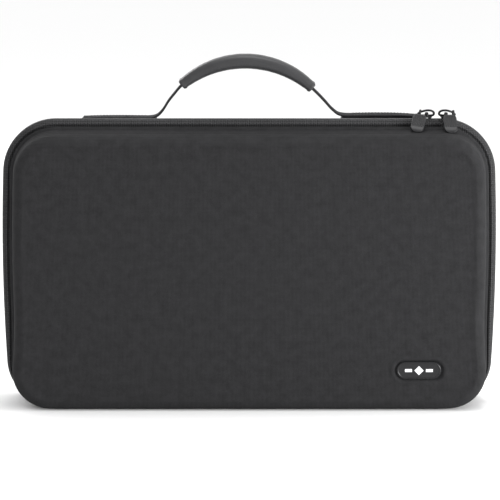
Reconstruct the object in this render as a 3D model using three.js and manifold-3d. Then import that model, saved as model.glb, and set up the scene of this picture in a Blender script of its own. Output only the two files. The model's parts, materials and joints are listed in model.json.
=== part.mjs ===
// Zipped hard carry case for tabletop miniatures, closed and standing upright.
// Millimetres, +Z up, +X to the right, front face towards -Y.
// The origin is on the floor under the middle of the case.
// "inset" is a distance inwards from the zip's outline on the top and sides, and "floor" is the same
// distance at the flat bottom, where every outer surface comes down to z = 0 so that the case can stand.

import * as THREE from "three";
import { mergeVertices } from "three/addons/utils/BufferGeometryUtils.js";
import Module from "manifold-3d";

const wasm = await Module();
wasm.setup();

// ---------------------------------------------------------------- driving dimensions

const HALF_WIDTH = 250;
const CREST_Z = 291;
const HALF_DEPTH = 45;
const WALL = 4;
const GAP = 0.3;

// outline of the zip: shallow side arcs that run tangent into the corner arcs
const SIDE = { radius: 2050, centreZ: 152 };
const TOP_RADIUS = 54;
const BOTTOM_RADIUS = 40;
const FLOOR_RUN_IN = 10;
const FLOOR_RUN_OUT = 21;
const OUTLINE_STEPS = { bottomCorner: 6, side: 3, topCorner: 8 };

// shell section, measured along y from the parting plane
const RIM_Y = 7.2;
const FLANGE = { inset: 8.3, rimInset: 8.6, y: 8.8 };
const WALL_START_Y = 9.8;
const FILLET_RADIUS = 12;
const FILLET_Y = HALF_DEPTH - FILLET_RADIUS;
const FILLET_STEPS = 3;
const FRONT_WALL = { start: 10.9, end: 13.5 };
const BACK_WALL = { start: 8.9, end: 11 };
const LINING = { gap: 0.5, thickness: 0.8 };

// foam
const TRAY_FRONT_Y = -1.5;
const PAD_FRONT_Y = -5;
const PAD_BACK_Y = 39.2;
const FOAM_GAP = 0.8;
const POCKET_ROWS = [
  { name: "large", count: 4, bottomZ: 18, height: 90 },
  { name: "middle", count: 8, bottomZ: 117, height: 66 },
  { name: "upper", count: 8, bottomZ: 192, height: 66 },
];
const POCKET_SPAN = 428;
const DIVIDER_THICKNESS = 8;
const TRAY_CORNER = 6;
const GLUE_GAP = 0.2;

// handle: a webbing strap through a rubber grip
const HANDLE_Y = 18;
const WEBBING = { width: 24, thickness: 2 };
const ARCH = { centreX: -4, radius: 98, apexZ: 346.9, middleAngle: 0.024, halfAngle: 0.75 };
const STRAP_LEG = {
  left: [[-75.4, 314.8], [-81.6, 307], [-86.3, 299.5]],
  right: [[70.4, 313.3], [76.2, 307.2], [81.4, 301.3], [84.6, 298.2]],
};
const ROOT_ROUTE = {
  left: [[-90.6, 294.3], [-95.2, 291.4], [-102, 290.3], [-168, 290.3]],
  right: [[89.2, 294.6], [94.5, 293.1], [102, 292.7], [168, 292.7]],
};
const GRIP = { width: 28, thickness: 12, endWidth: 25.6, endThickness: 9, halfAngle: 0.735 };
const ANCHOR = { fromX: 97, toX: 171, fromY: 8.5, toY: 29.5, bottomZ: 283.2 };
const ANCHOR_TOP_Z = { left: 288.9, right: 291.3 };

// zip sliders and their pulls, in a frame that sits on the zip's crest with +X along the zip
const LEFT_SLIDER_X = 178.2;
const RIGHT_SLIDER_ANGLE = THREE.MathUtils.degToRad(3.4);
const WIRE_RADIUS = 0.65;
const LOOP_AXIS_Z = 3;
const LOOP_TILT = THREE.MathUtils.degToRad(45);
const LOOP_ROUTE = [
  [-3.6, 0], [3.6, 0], [7.4, 0.5], [9, 2.3], [6.9, 4.7], [4.6, 6],
  [1.8, 7.2], [-1, 7.8], [-5, 6.8], [-7.4, 4.2], [-6.6, 1.2],
];
const TAB = { x: 6.9, reach: 4.7, width: 13.4, top: 2.7, length: 23.6, thickness: 2.6 };
const TAB_LEAN = THREE.MathUtils.degToRad(46);
const TAB_SPLAY = THREE.MathUtils.degToRad(8);
const TAB_EYE = { radius: 3, hole: 2, width: 2 };

// badge in a shallow recess low on the front face
const BADGE_X = 170.2;
const BADGE_Z = 41.6;
const RECESS = { length: 50, height: 21, depth: 2 };
const BADGE = { length: 45, height: 18, thickness: 1.2 };
const EMBLEM = { radius: 5, thickness: 0.4, sides: 4 };

// ---------------------------------------------------------------- materials

function plastic(color, roughness) {
  return new THREE.MeshStandardMaterial({ color, roughness, metalness: 0 });
}

const shellFabric = () => plastic(0x36363a, 0.85);
const zipFabric = () => plastic(0x333336, 0.8);
const liningFabric = () => plastic(0x2b2b2e, 0.9);
const foam = () => plastic(0x232326, 0.95);
const rubber = () => plastic(0x4d4d4f, 0.55);
const tabRubber = () => plastic(0x626264, 0.5);
const badgePlastic = () => plastic(0x1d1d1f, 0.35);
const emblemPaint = () => plastic(0xe8e8e8, 0.5);
const darkMetal = () => new THREE.MeshStandardMaterial({ color: 0x1c1c1e, roughness: 0.35, metalness: 0.9 });

// ---------------------------------------------------------------- solid helpers

// An indexed closed body; its faces are turned round if they point inwards.
function closedBody(positions, triangles) {
  const corner = (i) => new THREE.Vector3().fromArray(positions, 3 * i);
  let volume = 0;
  for (let t = 0; t < triangles.length; t += 3) {
    const [a, b, c] = [corner(triangles[t]), corner(triangles[t + 1]), corner(triangles[t + 2])];
    volume += a.dot(b.cross(c));
  }
  const outward = volume > 0 ? triangles : triangles.slice().reverse();
  const geometry = new THREE.BufferGeometry();
  geometry.setAttribute("position", new THREE.Float32BufferAttribute(positions, 3));
  geometry.setIndex(outward);
  return geometry;
}

// Joins rings of points into one skin and closes both ends.
function loft(rings) {
  const size = rings[0].length;
  const positions = rings.flat().flat();
  const triangles = [];
  for (let r = 0; r + 1 < rings.length; r += 1) {
    for (let i = 0; i < size; i += 1) {
      const next = (i + 1) % size;
      const [a, b] = [r * size + i, r * size + next];
      triangles.push(a, b, b + size, a, b + size, a + size);
    }
  }
  const last = (rings.length - 1) * size;
  for (const [i, j, k] of endTriangles(rings[0])) {
    triangles.push(k, j, i);
    triangles.push(last + i, last + j, last + k);
  }
  return closedBody(positions, triangles);
}

// Triangulates a flat ring in its own plane; the result is wound as the ring is.
function endTriangles(ring) {
  const points = ring.map((p) => new THREE.Vector3(...p));
  const normal = new THREE.Vector3();
  for (let i = 0; i < points.length; i += 1) {
    normal.add(new THREE.Vector3().crossVectors(points[i], points[(i + 1) % points.length]));
  }
  normal.normalize();
  const along = new THREE.Vector3().subVectors(points[1], points[0]).normalize();
  const across = new THREE.Vector3().crossVectors(normal, along);
  const flat = points.map((p) => new THREE.Vector2(p.dot(along), p.dot(across)));
  return THREE.ShapeUtils.triangulateShape(flat, []);
}

function extrudeAlongY(shape, fromY, toY, curveSegments = 2) {
  const options = { depth: toY - fromY, bevelEnabled: false, curveSegments };
  const geometry = new THREE.ExtrudeGeometry(shape, options);
  geometry.rotateX(Math.PI / 2);
  geometry.translate(0, toY, 0);
  return geometry;
}

function box(fromX, toX, fromY, toY, fromZ, toZ) {
  const geometry = new THREE.BoxGeometry(toX - fromX, toY - fromY, toZ - fromZ);
  geometry.translate((fromX + toX) / 2, (fromY + toY) / 2, (fromZ + toZ) / 2);
  return geometry;
}

function toManifold(geometry) {
  const bare = geometry.clone();
  bare.deleteAttribute("normal");
  bare.deleteAttribute("uv");
  const welded = mergeVertices(bare, 1e-4);
  const vertProperties = new Float32Array(welded.attributes.position.array);
  const triVerts = new Uint32Array(welded.index.array);
  return new wasm.Manifold(new wasm.Mesh({ numProp: 3, vertProperties, triVerts }));
}

function fromManifold(solid) {
  const mesh = solid.getMesh();
  const geometry = new THREE.BufferGeometry();
  geometry.setAttribute("position", new THREE.Float32BufferAttribute(mesh.vertProperties, 3));
  geometry.setIndex(Array.from(mesh.triVerts));
  return geometry;
}

function union(...geometries) {
  const solids = geometries.map(toManifold);
  return fromManifold(solids.reduce((whole, piece) => whole.add(piece)));
}

function cut(geometry, tool) {
  return fromManifold(toManifold(geometry).subtract(toManifold(tool)));
}

// ---------------------------------------------------------------- the case's outline

const sideCentreX = HALF_WIDTH - SIDE.radius;

function cornerArc(radius, centreZ) {
  const rise = centreZ - SIDE.centreZ;
  const reach = SIDE.radius - radius;
  return { x: sideCentreX + Math.sqrt(reach * reach - rise * rise), angle: Math.asin(rise / reach) };
}

const topCorner = cornerArc(TOP_RADIUS, CREST_Z - TOP_RADIUS);
const bottomCorner = cornerArc(BOTTOM_RADIUS, BOTTOM_RADIUS);

const bottomCornerRun = BOTTOM_RADIUS * (bottomCorner.angle + Math.PI / 2);

// A station is one place on the right half of the outline. "floor" goes smoothly from 0 just past the
// side's end to 1 a little way along the flat bottom; "run" is the distance from the side's end.
function bottomStation(angle) {
  const run = BOTTOM_RADIUS * (bottomCorner.angle - angle);
  const floor = THREE.MathUtils.smoothstep(run, FLOOR_RUN_IN, bottomCornerRun + FLOOR_RUN_OUT);
  return { x: bottomCorner.x, z: BOTTOM_RADIUS, radius: BOTTOM_RADIUS, angle, floor };
}

function flatStation(distance) {
  const run = bottomCornerRun + distance;
  const floor = THREE.MathUtils.smoothstep(run, FLOOR_RUN_IN, bottomCornerRun + FLOOR_RUN_OUT);
  const x = bottomCorner.x - distance;
  return { x, z: BOTTOM_RADIUS, radius: BOTTOM_RADIUS, angle: -Math.PI / 2, floor };
}

function rightStations(fromAngle = -Math.PI / 2) {
  const stations = [];
  for (let i = 0; i <= OUTLINE_STEPS.bottomCorner; i += 1) {
    const t = i / OUTLINE_STEPS.bottomCorner;
    stations.push(bottomStation(THREE.MathUtils.lerp(fromAngle, bottomCorner.angle, t)));
  }
  for (let i = 1; i < OUTLINE_STEPS.side; i += 1) {
    const angle = THREE.MathUtils.lerp(bottomCorner.angle, topCorner.angle, i / OUTLINE_STEPS.side);
    stations.push({ x: sideCentreX, z: SIDE.centreZ, radius: SIDE.radius, angle, floor: 0 });
  }
  for (let i = 0; i <= OUTLINE_STEPS.topCorner; i += 1) {
    const angle = THREE.MathUtils.lerp(topCorner.angle, Math.PI / 2, i / OUTLINE_STEPS.topCorner);
    stations.push({ x: topCorner.x, z: CREST_Z - TOP_RADIUS, radius: TOP_RADIUS, angle, floor: 0 });
  }
  return stations;
}

function mirrored(stations) {
  return stations.map((s) => ({ ...s, left: true })).reverse();
}

function place(station, inset, floorInset, y) {
  const reach = station.radius - THREE.MathUtils.lerp(inset, floorInset, station.floor);
  const x = station.x + reach * Math.cos(station.angle);
  const z = station.z + reach * Math.sin(station.angle);
  return [station.left ? -x : x, y, z];
}

// One closed loop of the outline at a given y.
function ring(inset, floorInset, y) {
  const flat = [1, 2 / 3, 1 / 3].map((share) => flatStation(share * FLOOR_RUN_OUT));
  const right = [...flat, ...rightStations()];
  return [...right, ...mirrored(right)].map((s) => place(s, inset, floorInset, y));
}

// Carries a section round the case from bottom right, over the top, to bottom left.
// Each corner of the section is [inset, floor, distance from the parting plane].
function band(section, side, stations) {
  return loft(stations.map((s) => section.map(([inset, floor, y]) => place(s, inset, floor, side * y))));
}

function bandStations(fromAngle) {
  const right = rightStations(fromAngle);
  return [...right, ...mirrored(right)];
}

// ---------------------------------------------------------------- shells and what lines them

// Rings of the rounded edge between a wall and a face, as a quarter circle of the given radius.
function filletRings(wallInset, side, radius) {
  const rings = [];
  for (let i = 0; i <= FILLET_STEPS; i += 1) {
    const turn = (i / FILLET_STEPS) * (Math.PI / 2);
    const inset = wallInset + FILLET_RADIUS - radius * Math.cos(turn);
    const floor = FILLET_RADIUS - radius * Math.cos(turn);
    rings.push(ring(inset, floor, side * (FILLET_Y + radius * Math.sin(turn))));
  }
  return rings;
}

function shell(side, wall) {
  const outer = [
    ring(FLANGE.rimInset, 0, side * RIM_Y),
    ring(FLANGE.inset, 0, side * FLANGE.y),
    ring(wall.start, 0, side * WALL_START_Y),
    ...filletRings(wall.end, side, FILLET_RADIUS),
  ];
  const inner = [
    ring(FLANGE.rimInset + WALL, WALL, side * RIM_Y),
    ring(wall.start + WALL, WALL, side * WALL_START_Y),
    ...filletRings(wall.end, side, FILLET_RADIUS - WALL),
  ];
  return loft([...outer.reverse(), ...inner]);
}

function lining(side, wall) {
  const outerRadius = FILLET_RADIUS - WALL - LINING.gap;
  const innerRadius = outerRadius - LINING.thickness;
  const skin = (radius) => [
    ring(wall.start + FILLET_RADIUS - radius, FILLET_RADIUS - radius, side * WALL_START_Y),
    ...filletRings(wall.end, side, radius),
  ];
  return loft([...skin(outerRadius).reverse(), ...skin(innerRadius)]);
}

function foamEdge(wall) {
  const floor = WALL + LINING.gap + LINING.thickness + FOAM_GAP;
  return { inset: wall.end + floor, floor };
}

// A foam slab whose back edge is chamfered to sit in the shell's fillet.
function slab(side, wall, frontY) {
  const { inset, floor } = foamEdge(wall);
  const section = [[0, frontY], [1.4, FILLET_Y + 4], [5.2, PAD_BACK_Y]];
  return loft(section.map(([chamfer, y]) => ring(inset + chamfer, floor + chamfer, side * y)));
}

// The foam round the pockets: one big opening with rounded corners, as wide and high as all the rows.
function trayFrame() {
  const { inset, floor } = foamEdge(BACK_WALL);
  const shape = new THREE.Shape(ring(inset, floor, 0).map(([x, , z]) => new THREE.Vector2(x, z)));
  const r = TRAY_CORNER;
  const right = POCKET_SPAN / 2;
  const bottom = POCKET_ROWS[0].bottomZ;
  const top = POCKET_ROWS[2].bottomZ + POCKET_ROWS[2].height;
  const hole = new THREE.Path();
  hole.moveTo(r - right, bottom);
  hole.lineTo(right - r, bottom);
  hole.absarc(right - r, bottom + r, r, -Math.PI / 2, 0);
  hole.absarc(right - r, top - r, r, 0, Math.PI / 2);
  hole.absarc(r - right, top - r, r, Math.PI / 2, Math.PI);
  hole.absarc(r - right, bottom + r, r, Math.PI, 1.5 * Math.PI);
  shape.holes.push(hole);
  return extrudeAlongY(shape, TRAY_FRONT_Y, FILLET_Y);
}

// A long strip of foam between one row of pockets and the next.
function trayRail(below, above) {
  const reach = POCKET_SPAN / 2 - GLUE_GAP;
  const fromZ = below.bottomZ + below.height;
  return box(-reach, reach, TRAY_FRONT_Y, FILLET_Y, fromZ, above.bottomZ);
}

// A short block of foam between two pockets of a row, counted from the left.
function trayDivider(row, index) {
  const pitch = (POCKET_SPAN + DIVIDER_THICKNESS) / row.count;
  const x = (index - row.count / 2) * pitch;
  const fromZ = row.bottomZ + GLUE_GAP;
  const toZ = row.bottomZ + row.height - GLUE_GAP;
  const half = DIVIDER_THICKNESS / 2;
  return box(x - half, x + half, TRAY_FRONT_Y, FILLET_Y, fromZ, toZ);
}

// ---------------------------------------------------------------- zip and hinge spine

const TAPE = [[1.2, 0.2, 3.2], [6.6, 0.2, 6.9], [7.4, 1.2, 6.3], [2.6, 1.2, 3.2]];
const COIL = [[0, 0, 0.7], [0, 0, 2.9], [2.2, 2.2, 2.9], [2.2, 2.2, 0.7]];
const BINDING = [[8.9, 1.7, 5.3], [8.9, 1.7, 6.9], [15.5, 4.6, 6.9], [15.5, 4.6, 5.3]];
const STOP = [[-0.4, -0.4, 0.3], [-0.4, -0.4, 3], [2.6, 2.6, 3], [2.6, 2.6, 0.3]];
const COIL_END = THREE.MathUtils.degToRad(-64);
const STOP_ENDS = [-72, -65].map(THREE.MathUtils.degToRad);
const SPINE = { halfLength: 186, fromY: 0.3, toY: 6.9, thickness: 1.4 };

function tape(side) {
  return band(TAPE, side, bandStations());
}

function coil(side) {
  return band(COIL, side, bandStations(COIL_END));
}

function binding(side) {
  return band(BINDING, side, bandStations());
}

function zipStop(left) {
  return band(STOP, 1, STOP_ENDS.map((angle) => ({ ...bottomStation(angle), left })));
}

function spine(side) {
  const [a, b] = [side * SPINE.fromY, side * SPINE.toY];
  return box(-SPINE.halfLength, SPINE.halfLength, Math.min(a, b), Math.max(a, b), 0, SPINE.thickness);
}

// ---------------------------------------------------------------- handle

function archPoint(angle) {
  const centreZ = ARCH.apexZ - ARCH.radius;
  return [ARCH.centreX + ARCH.radius * Math.sin(angle), centreZ + ARCH.radius * Math.cos(angle)];
}

const ARCH_STEPS = 16;

// Steps along the arch from end to end, each as a share from -1 to 1 of the half angle.
const archShares = Array.from({ length: ARCH_STEPS + 1 }, (_, i) => 2 * (i / ARCH_STEPS) - 1);

// A flat strap of webbing along a route in the XZ plane.
function ribbon(route, thickness, width) {
  const points = route.map(([x, z]) => new THREE.Vector2(x, z));
  const normals = points.map((_, i) => {
    const before = points[Math.max(i - 1, 0)];
    const after = points[Math.min(i + 1, points.length - 1)];
    const along = after.clone().sub(before).normalize();
    return new THREE.Vector2(-along.y, along.x);
  });
  const offset = (i, distance) => points[i].clone().addScaledVector(normals[i], distance);
  const upper = points.map((_, i) => offset(i, thickness / 2));
  const lower = points.map((_, i) => offset(i, -thickness / 2)).reverse();
  const shape = new THREE.Shape([...upper, ...lower]);
  return extrudeAlongY(shape, HANDLE_Y - width / 2, HANDLE_Y + width / 2);
}

function strapRoute() {
  const arch = archShares.map((share) => archPoint(ARCH.middleAngle + share * ARCH.halfAngle));
  return [...STRAP_LEG.left.slice().reverse(), ...arch, ...STRAP_LEG.right];
}

function strapRoot(end) {
  return ribbon(ROOT_ROUTE[end], WEBBING.thickness, WEBBING.width);
}

// A rounded grip, fuller in the middle, with a slot through it for the webbing.
function grip() {
  const corners = 12;
  const rings = archShares.map((share) => {
    const angle = ARCH.middleAngle + share * GRIP.halfAngle;
    const [x, z] = archPoint(angle);
    const taper = share ** 2;
    const halfWidth = THREE.MathUtils.lerp(GRIP.width, GRIP.endWidth, taper) / 2;
    const halfThickness = THREE.MathUtils.lerp(GRIP.thickness, GRIP.endThickness, taper) / 2;
    return Array.from({ length: corners }, (_, i) => {
      const turn = ((i + 0.5) / corners) * 2 * Math.PI;
      const round = (value) => Math.sign(value) * Math.sqrt(Math.abs(value));
      const out = halfThickness * round(Math.sin(turn));
      const y = HANDLE_Y + halfWidth * round(Math.cos(turn));
      return [x + out * Math.sin(angle), y, z + out * Math.cos(angle)];
    });
  });
  const slot = ribbon(strapRoute(), WEBBING.thickness + 2 * GAP, WEBBING.width + 2 * GAP);
  return cut(loft(rings), slot);
}

// The raised pad that the webbing's tail is sewn through, shaped to the back shell's top wall.
function anchor(end) {
  const sign = end === "left" ? -1 : 1;
  const topZ = ANCHOR_TOP_Z[end];
  const slope = (BACK_WALL.end - BACK_WALL.start) / (FILLET_Y - WALL_START_Y);
  const rise = slope * (ANCHOR.toY - ANCHOR.fromY);
  const section = [
    [ANCHOR.fromY, ANCHOR.bottomZ],
    [ANCHOR.toY, ANCHOR.bottomZ - rise],
    [ANCHOR.toY, topZ],
    [ANCHOR.fromY, topZ],
  ];
  return loft([ANCHOR.fromX, ANCHOR.toX].map((x) => section.map(([y, z]) => [sign * x, y, z])));
}

// ---------------------------------------------------------------- sliders and pulls

function sliderBody() {
  const plan = new THREE.Shape();
  plan.setFromPoints([[-5.5, -2.6], [-3, -3.7], [5.5, -3], [5.5, 3], [-3, 3.7], [-5.5, 2.6]]
    .map(([x, y]) => new THREE.Vector2(x, y)));
  const topPlate = new THREE.ExtrudeGeometry(plan, { depth: 1.25, bevelEnabled: false });
  topPlate.translate(0, 0, 0.9);
  const bottomPlate = box(-4.5, 4.5, -2.6, 2.6, -4.4, -3.2);
  const neck = box(-4.5, -1.5, -0.35, 0.35, -3.4, 1.1);
  const legs = [-1, 1].map((side) => box(-1.5, 1.5, side * 2.5 - 0.6, side * 2.5 + 0.6, 2, 5.4));
  const bar = box(-1.5, 1.5, -3.1, 3.1, 5, 6.1);
  return union(topPlate, bottomPlate, neck, ...legs, bar);
}

function loopPoint([x, reach], mirror) {
  const y = -reach * Math.sin(LOOP_TILT);
  return new THREE.Vector3(mirror * x, y, LOOP_AXIS_Z + reach * Math.cos(LOOP_TILT));
}

// A closed ring of round wire: its route lies in one plane, so each section stands square to it.
function wireLoop(mirror) {
  const route = LOOP_ROUTE.map((p) => loopPoint(p, mirror));
  const curve = new THREE.CatmullRomCurve3(route, true, "catmullrom", 0.5);
  const [steps, sides] = [36, 6];
  const planeNormal = new THREE.Vector3(0, -Math.cos(LOOP_TILT), -Math.sin(LOOP_TILT));
  const positions = [];
  const triangles = [];
  for (let i = 0; i < steps; i += 1) {
    const centre = curve.getPointAt(i / steps);
    const outward = new THREE.Vector3().crossVectors(curve.getTangentAt(i / steps), planeNormal).normalize();
    for (let j = 0; j < sides; j += 1) {
      const turn = (j / sides) * 2 * Math.PI;
      const point = centre.clone()
        .addScaledVector(outward, WIRE_RADIUS * Math.cos(turn))
        .addScaledVector(planeNormal, WIRE_RADIUS * Math.sin(turn));
      positions.push(...point.toArray());
      const [a, b] = [i * sides + j, i * sides + ((j + 1) % sides)];
      const [c, d] = [a, b].map((k) => (k + sides) % (steps * sides));
      triangles.push(a, b, d, a, d, c);
    }
  }
  return closedBody(positions, triangles);
}

// A flat tab hanging from an eye round the wire, leaning out over the zip and away from the other tab.
function pullTab(mirror) {
  const half = TAB.width / 2;
  const shape = new THREE.Shape();
  const corner = 3;
  shape.moveTo(-half + 1, -TAB.top);
  shape.lineTo(half - 1, -TAB.top);
  shape.lineTo(half, -TAB.top - 1);
  shape.lineTo(half, -TAB.length + corner);
  shape.absarc(half - corner, -TAB.length + corner, corner, 0, -Math.PI / 2, true);
  shape.lineTo(-half + corner, -TAB.length);
  shape.absarc(-half + corner, -TAB.length + corner, corner, -Math.PI / 2, -Math.PI, true);
  shape.lineTo(-half, -TAB.top - 1);
  const blade = extrudeAlongY(shape, -TAB.thickness / 2, TAB.thickness / 2, 3);
  const eye = new THREE.CylinderGeometry(TAB_EYE.radius, TAB_EYE.radius, TAB_EYE.width, 16);
  const hole = new THREE.CylinderGeometry(TAB_EYE.hole, TAB_EYE.hole, 2 * TAB.width, 16);
  eye.rotateZ(Math.PI / 2);
  hole.rotateZ(Math.PI / 2);
  const geometry = cut(union(blade, eye), hole);
  geometry.rotateY(-mirror * TAB_SPLAY);
  geometry.rotateX(-TAB_LEAN);
  const hang = loopPoint([TAB.x, TAB.reach], mirror);
  geometry.translate(hang.x, hang.y, hang.z);
  return geometry;
}

// ---------------------------------------------------------------- badge

function stadium(length, height) {
  const shape = new THREE.Shape();
  const [half, r] = [(length - height) / 2, height / 2];
  shape.moveTo(BADGE_X - half, BADGE_Z - r);
  shape.lineTo(BADGE_X + half, BADGE_Z - r);
  shape.absarc(BADGE_X + half, BADGE_Z, r, -Math.PI / 2, Math.PI / 2);
  shape.lineTo(BADGE_X - half, BADGE_Z + r);
  shape.absarc(BADGE_X - half, BADGE_Z, r, Math.PI / 2, 1.5 * Math.PI);
  return shape;
}

function frontShell() {
  const outline = stadium(RECESS.length, RECESS.height);
  const recess = extrudeAlongY(outline, -HALF_DEPTH - 1, -HALF_DEPTH + RECESS.depth, 10);
  return cut(shell(-1, FRONT_WALL), recess);
}

const badgeBackY = -HALF_DEPTH + RECESS.depth - GAP;
const badgeFrontY = badgeBackY - BADGE.thickness;

function badge() {
  return extrudeAlongY(stadium(BADGE.length, BADGE.height), badgeFrontY, badgeBackY, 10);
}

function emblem() {
  const geometry = new THREE.CylinderGeometry(EMBLEM.radius, EMBLEM.radius, EMBLEM.thickness, EMBLEM.sides);
  geometry.translate(BADGE_X, badgeFrontY - 0.05 - EMBLEM.thickness / 2, BADGE_Z);
  return geometry;
}

// ---------------------------------------------------------------- assembly

const miniatureCase = new THREE.Group();

function add(name, geometry, material, group = miniatureCase) {
  const mesh = new THREE.Mesh(geometry, material);
  mesh.name = name;
  group.add(mesh);
}

for (const [half, side, wall, shellGeometry] of [
  ["back", 1, BACK_WALL, shell(1, BACK_WALL)],
  ["front", -1, FRONT_WALL, frontShell()],
]) {
  add(`${half}_shell`, shellGeometry, shellFabric());
  add(`${half}_lining`, lining(side, wall), liningFabric());
  add(`${half}_zip_tape`, tape(side), zipFabric());
  add(`${half}_zip_coil`, coil(side), zipFabric());
  add(`${half}_binding`, binding(side), liningFabric());
  add(`${half}_spine`, spine(side), zipFabric());
}

add("zip_stop_left", zipStop(true), darkMetal());
add("zip_stop_right", zipStop(false), darkMetal());
add("base_pad", slab(1, BACK_WALL, FILLET_Y + GAP), foam());
add("tray_frame", trayFrame(), foam());
add("tray_rail_lower", trayRail(POCKET_ROWS[0], POCKET_ROWS[1]), foam());
add("tray_rail_upper", trayRail(POCKET_ROWS[1], POCKET_ROWS[2]), foam());
for (const row of POCKET_ROWS) {
  for (let i = 1; i < row.count; i += 1) {
    add(`${row.name}_divider_${i}`, trayDivider(row, i), foam());
  }
}
add("lid_pad", slab(-1, FRONT_WALL, -PAD_FRONT_Y), foam());
add("badge", badge(), badgePlastic());
add("badge_emblem", emblem(), emblemPaint());

for (const end of ["left", "right"]) {
  add(`anchor_${end}`, anchor(end), rubber());
  add(`strap_root_${end}`, strapRoot(end), zipFabric());
}
add("handle_strap", ribbon(strapRoute(), WEBBING.thickness, WEBBING.width), zipFabric());
add("handle_grip", grip(), rubber());

// The left slider stands on the straight top, the right one just round the start of the corner,
// so its group turns about the corner's centre.
const leftCarrier = new THREE.Group();
leftCarrier.position.set(LEFT_SLIDER_X, 0, CREST_Z);
const rightCarrier = new THREE.Group();
rightCarrier.position.set(topCorner.x, 0, CREST_Z - TOP_RADIUS);
rightCarrier.rotation.y = RIGHT_SLIDER_ANGLE;
const rightCrest = new THREE.Group();
rightCrest.position.z = TOP_RADIUS;
rightCarrier.add(rightCrest);
miniatureCase.add(leftCarrier, rightCarrier);

for (const [name, group, mirror] of [["left", leftCarrier, -1], ["right", rightCrest, 1]]) {
  const body = sliderBody();
  if (mirror < 0) {
    body.rotateZ(Math.PI);
  }
  add(`${name}_slider_body`, body, darkMetal(), group);
  add(`${name}_wire_loop`, wireLoop(mirror), darkMetal(), group);
  add(`${name}_pull_tab`, pullTab(mirror), tabRubber(), group);
}

export default miniatureCase;
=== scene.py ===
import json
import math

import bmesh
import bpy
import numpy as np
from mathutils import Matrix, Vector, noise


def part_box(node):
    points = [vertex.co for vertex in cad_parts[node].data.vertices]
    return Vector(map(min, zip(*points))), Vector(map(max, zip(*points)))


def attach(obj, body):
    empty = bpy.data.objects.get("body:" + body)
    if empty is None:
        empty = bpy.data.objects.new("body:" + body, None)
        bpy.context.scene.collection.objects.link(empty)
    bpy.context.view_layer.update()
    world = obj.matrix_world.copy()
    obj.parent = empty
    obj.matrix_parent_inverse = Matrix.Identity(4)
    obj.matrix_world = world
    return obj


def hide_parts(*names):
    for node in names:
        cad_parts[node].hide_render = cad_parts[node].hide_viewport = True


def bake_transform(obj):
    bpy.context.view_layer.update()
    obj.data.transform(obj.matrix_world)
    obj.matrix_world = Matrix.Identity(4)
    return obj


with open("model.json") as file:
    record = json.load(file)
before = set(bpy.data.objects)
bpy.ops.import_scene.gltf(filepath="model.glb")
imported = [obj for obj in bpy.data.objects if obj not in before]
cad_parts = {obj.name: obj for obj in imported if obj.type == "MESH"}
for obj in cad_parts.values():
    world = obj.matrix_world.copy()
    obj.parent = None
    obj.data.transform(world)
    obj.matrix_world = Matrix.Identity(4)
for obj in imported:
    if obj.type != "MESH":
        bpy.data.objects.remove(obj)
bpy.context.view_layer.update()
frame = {"nodes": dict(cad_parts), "record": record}

# A zipped hard carry case for tabletop miniatures, closed and standing upright.
# Shapes are worked out in millimetres, in the CAD's frame, and turned into metres when a mesh is made.
# The camera and the lights are in metres.
# "inset" is a distance inwards from the zip's outline on the top and sides; "floor" is the same distance
# at the flat bottom.

MM = 0.001


def node_box(name):
    low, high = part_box(name)
    return np.array(low) / MM, np.array(high) / MM


# ---------------- sizes from the frame

STRAP_LOW, STRAP_HIGH = node_box("handle_strap")
TRAY_LOW, TRAY_HIGH = node_box("tray_frame")
PAD_LOW, PAD_HIGH = node_box("lid_pad")
BADGE_LOW, BADGE_HIGH = node_box("badge")
JOINTS = {j["name"]: j for j in frame["record"]["behaviour"]["joints"]}

HALF_WIDTH = 250.0
CREST_Z = float(node_box("front_zip_coil")[1][2])
HALF_DEPTH = float(-node_box("front_shell")[0][1])
MIDDLE_Z = CREST_Z / 2
SIDE_RADIUS, SIDE_CENTRE_Z = 2050.0, 152.0
# The lower corners are drawn fuller than the CAD's, to follow the photograph.
TOP_RADIUS, BOTTOM_RADIUS = 54.0, 44.0
FLOOR_RUN_IN, FLOOR_RUN_OUT = -60.0, 17.0
OUTLINE_STEP, BAND_STEP = 4.0, 3.0
WALL, LINING_GAP, LINING_THICKNESS = 4.0, 0.5, 0.8
FILLET_RADIUS = 12.0
FILLET_Y = HALF_DEPTH - FILLET_RADIUS
FRONT_WALL, BACK_WALL = (10.9, 13.5), (8.9, 11.0)    # the wall's inset at the zip and at the fillet
HALVES = {1: ("back", "base", BACK_WALL), -1: ("front", "lid", FRONT_WALL)}
CROWN, CROWN_HALF_WIDTH, CROWN_HALF_HEIGHT = 0.7, 235, 140
FACE_RINGS, FACE_LINE_HALF = 34, 105
SOFTNESS, BROAD_WAVE, FINE_WAVE, CALM_HEIGHT = 0.35, (90, 60, 70), (26, 30, 22), 12
BADGE_CENTRE = (BADGE_LOW + BADGE_HIGH) / 2
BADGE_SIZE = (45.0, 18.0)
RECESS_SIZE, RECESS_DEPTH, RECESS_WALL = (50.0, 21.0), 2.0, (-1.1, 0.4)
LIP_HEIGHT, LIP_PLACE, LIP_SPREAD = 0.55, 2.2, 1.6
HANDLE_Y = float(STRAP_LOW[1] + STRAP_HIGH[1]) / 2


# ---------------- camera, light, floor

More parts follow.
